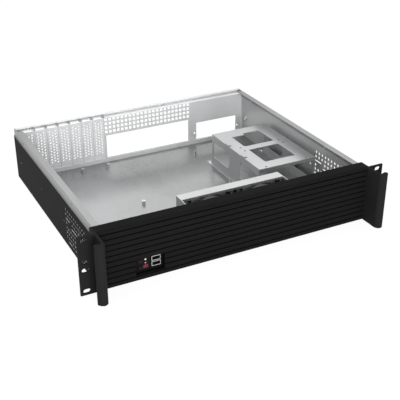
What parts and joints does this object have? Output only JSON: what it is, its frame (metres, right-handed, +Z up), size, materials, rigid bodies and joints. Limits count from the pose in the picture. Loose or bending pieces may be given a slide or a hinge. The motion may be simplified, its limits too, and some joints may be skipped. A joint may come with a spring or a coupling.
{
  "type": "rackmount server case",
  "caption": "Empty two-unit rackmount server case with its lid off, finned black front, pull handles, fans, drive cage and perforated slot covers.",
  "frame": {"origin": "centre of the footprint on the face the case stands on", "axes": "+X to the right seen from the front, +Y from the front to the rear, +Z up"},
  "size_m": [0.4826, 0.4244, 0.088],
  "materials": {
    "zinc_sheet": "brushed galvanised sheet, bright",
    "bright_steel": "bright plated steel",
    "black_aluminium": "black anodised, satin",
    "black_plastic": "matt black",
    "black_screws": "black oxide",
    "button_plastic": "satin dark grey",
    "clear_lens": "milky lens",
    "red_lens": "red lens",
    "dark_red_lens": "dark red window",
    "socket_steel": "tinned steel",
    "contact_plastic": "white",
    "circuit_board": "green solder mask"
  },
  "bodies": {
    "case": {"board_standoffs": "bright_steel", "cage_screws": "bright_steel", "chassis_floor": "zinc_sheet", "control_board": "circuit_board", "control_housing": "black_plastic", "disk_light": "red_lens", "drive_cage": "zinc_sheet", "fan_bracket": "zinc_sheet", "fan_frame_1": "black_plastic", "fan_frame_2": "black_plastic", "fan_screws": "black_screws", "front_panel": "black_aluminium", "front_wall": "zinc_sheet", "left_ear_handle": "black_aluminium", "left_lid_rail": "zinc_sheet", "left_side_wall": "zinc_sheet", "power_light": "clear_lens", "press_nuts": "bright_steel", "rear_foot": "zinc_sheet", "rear_ledge": "zinc_sheet", "rear_upstand": "zinc_sheet", "rear_wall": "zinc_sheet", "right_ear_handle": "black_aluminium", "right_lid_rail": "zinc_sheet", "right_side_wall": "zinc_sheet", "slot_cover_1": "zinc_sheet", "slot_cover_2": "zinc_sheet", "slot_cover_3": "zinc_sheet", "slot_cover_4": "zinc_sheet", "slot_cover_5": "zinc_sheet", "slot_cover_6": "zinc_sheet", "slot_cover_7": "zinc_sheet", "slot_screws": "bright_steel", "status_window": "dark_red_lens", "usb_socket_lower": "socket_steel", "usb_socket_upper": "socket_steel", "usb_tongues": "contact_plastic"},
    "rotor_1": {"fan_rotor_1": "black_plastic"},
    "rotor_2": {"fan_rotor_2": "black_plastic"},
    "power_push": {"power_button": "button_plastic"},
    "reset_push": {"reset_button": "button_plastic"}
  },
  "joints": [
    {"name": "fan_spin_1", "type": "hinge", "parent": "case", "child": "rotor_1", "pos_m": [-0.033, -0.14575, 0.0424], "axis": [0, 1, 0], "continuous": true},
    {"name": "fan_spin_2", "type": "hinge", "parent": "case", "child": "rotor_2", "pos_m": [0.049, -0.14575, 0.0424], "axis": [0, 1, 0], "continuous": true},
    {"name": "power_press", "type": "slide", "parent": "case", "child": "power_push", "axis": [0, 1, 0], "range_m": [0, 0.0008], "stiffness_N_per_m": 300},
    {"name": "reset_press", "type": "slide", "parent": "case", "child": "reset_push", "axis": [0, 1, 0], "range_m": [0, 0.0008], "stiffness_N_per_m": 300}
  ]
}
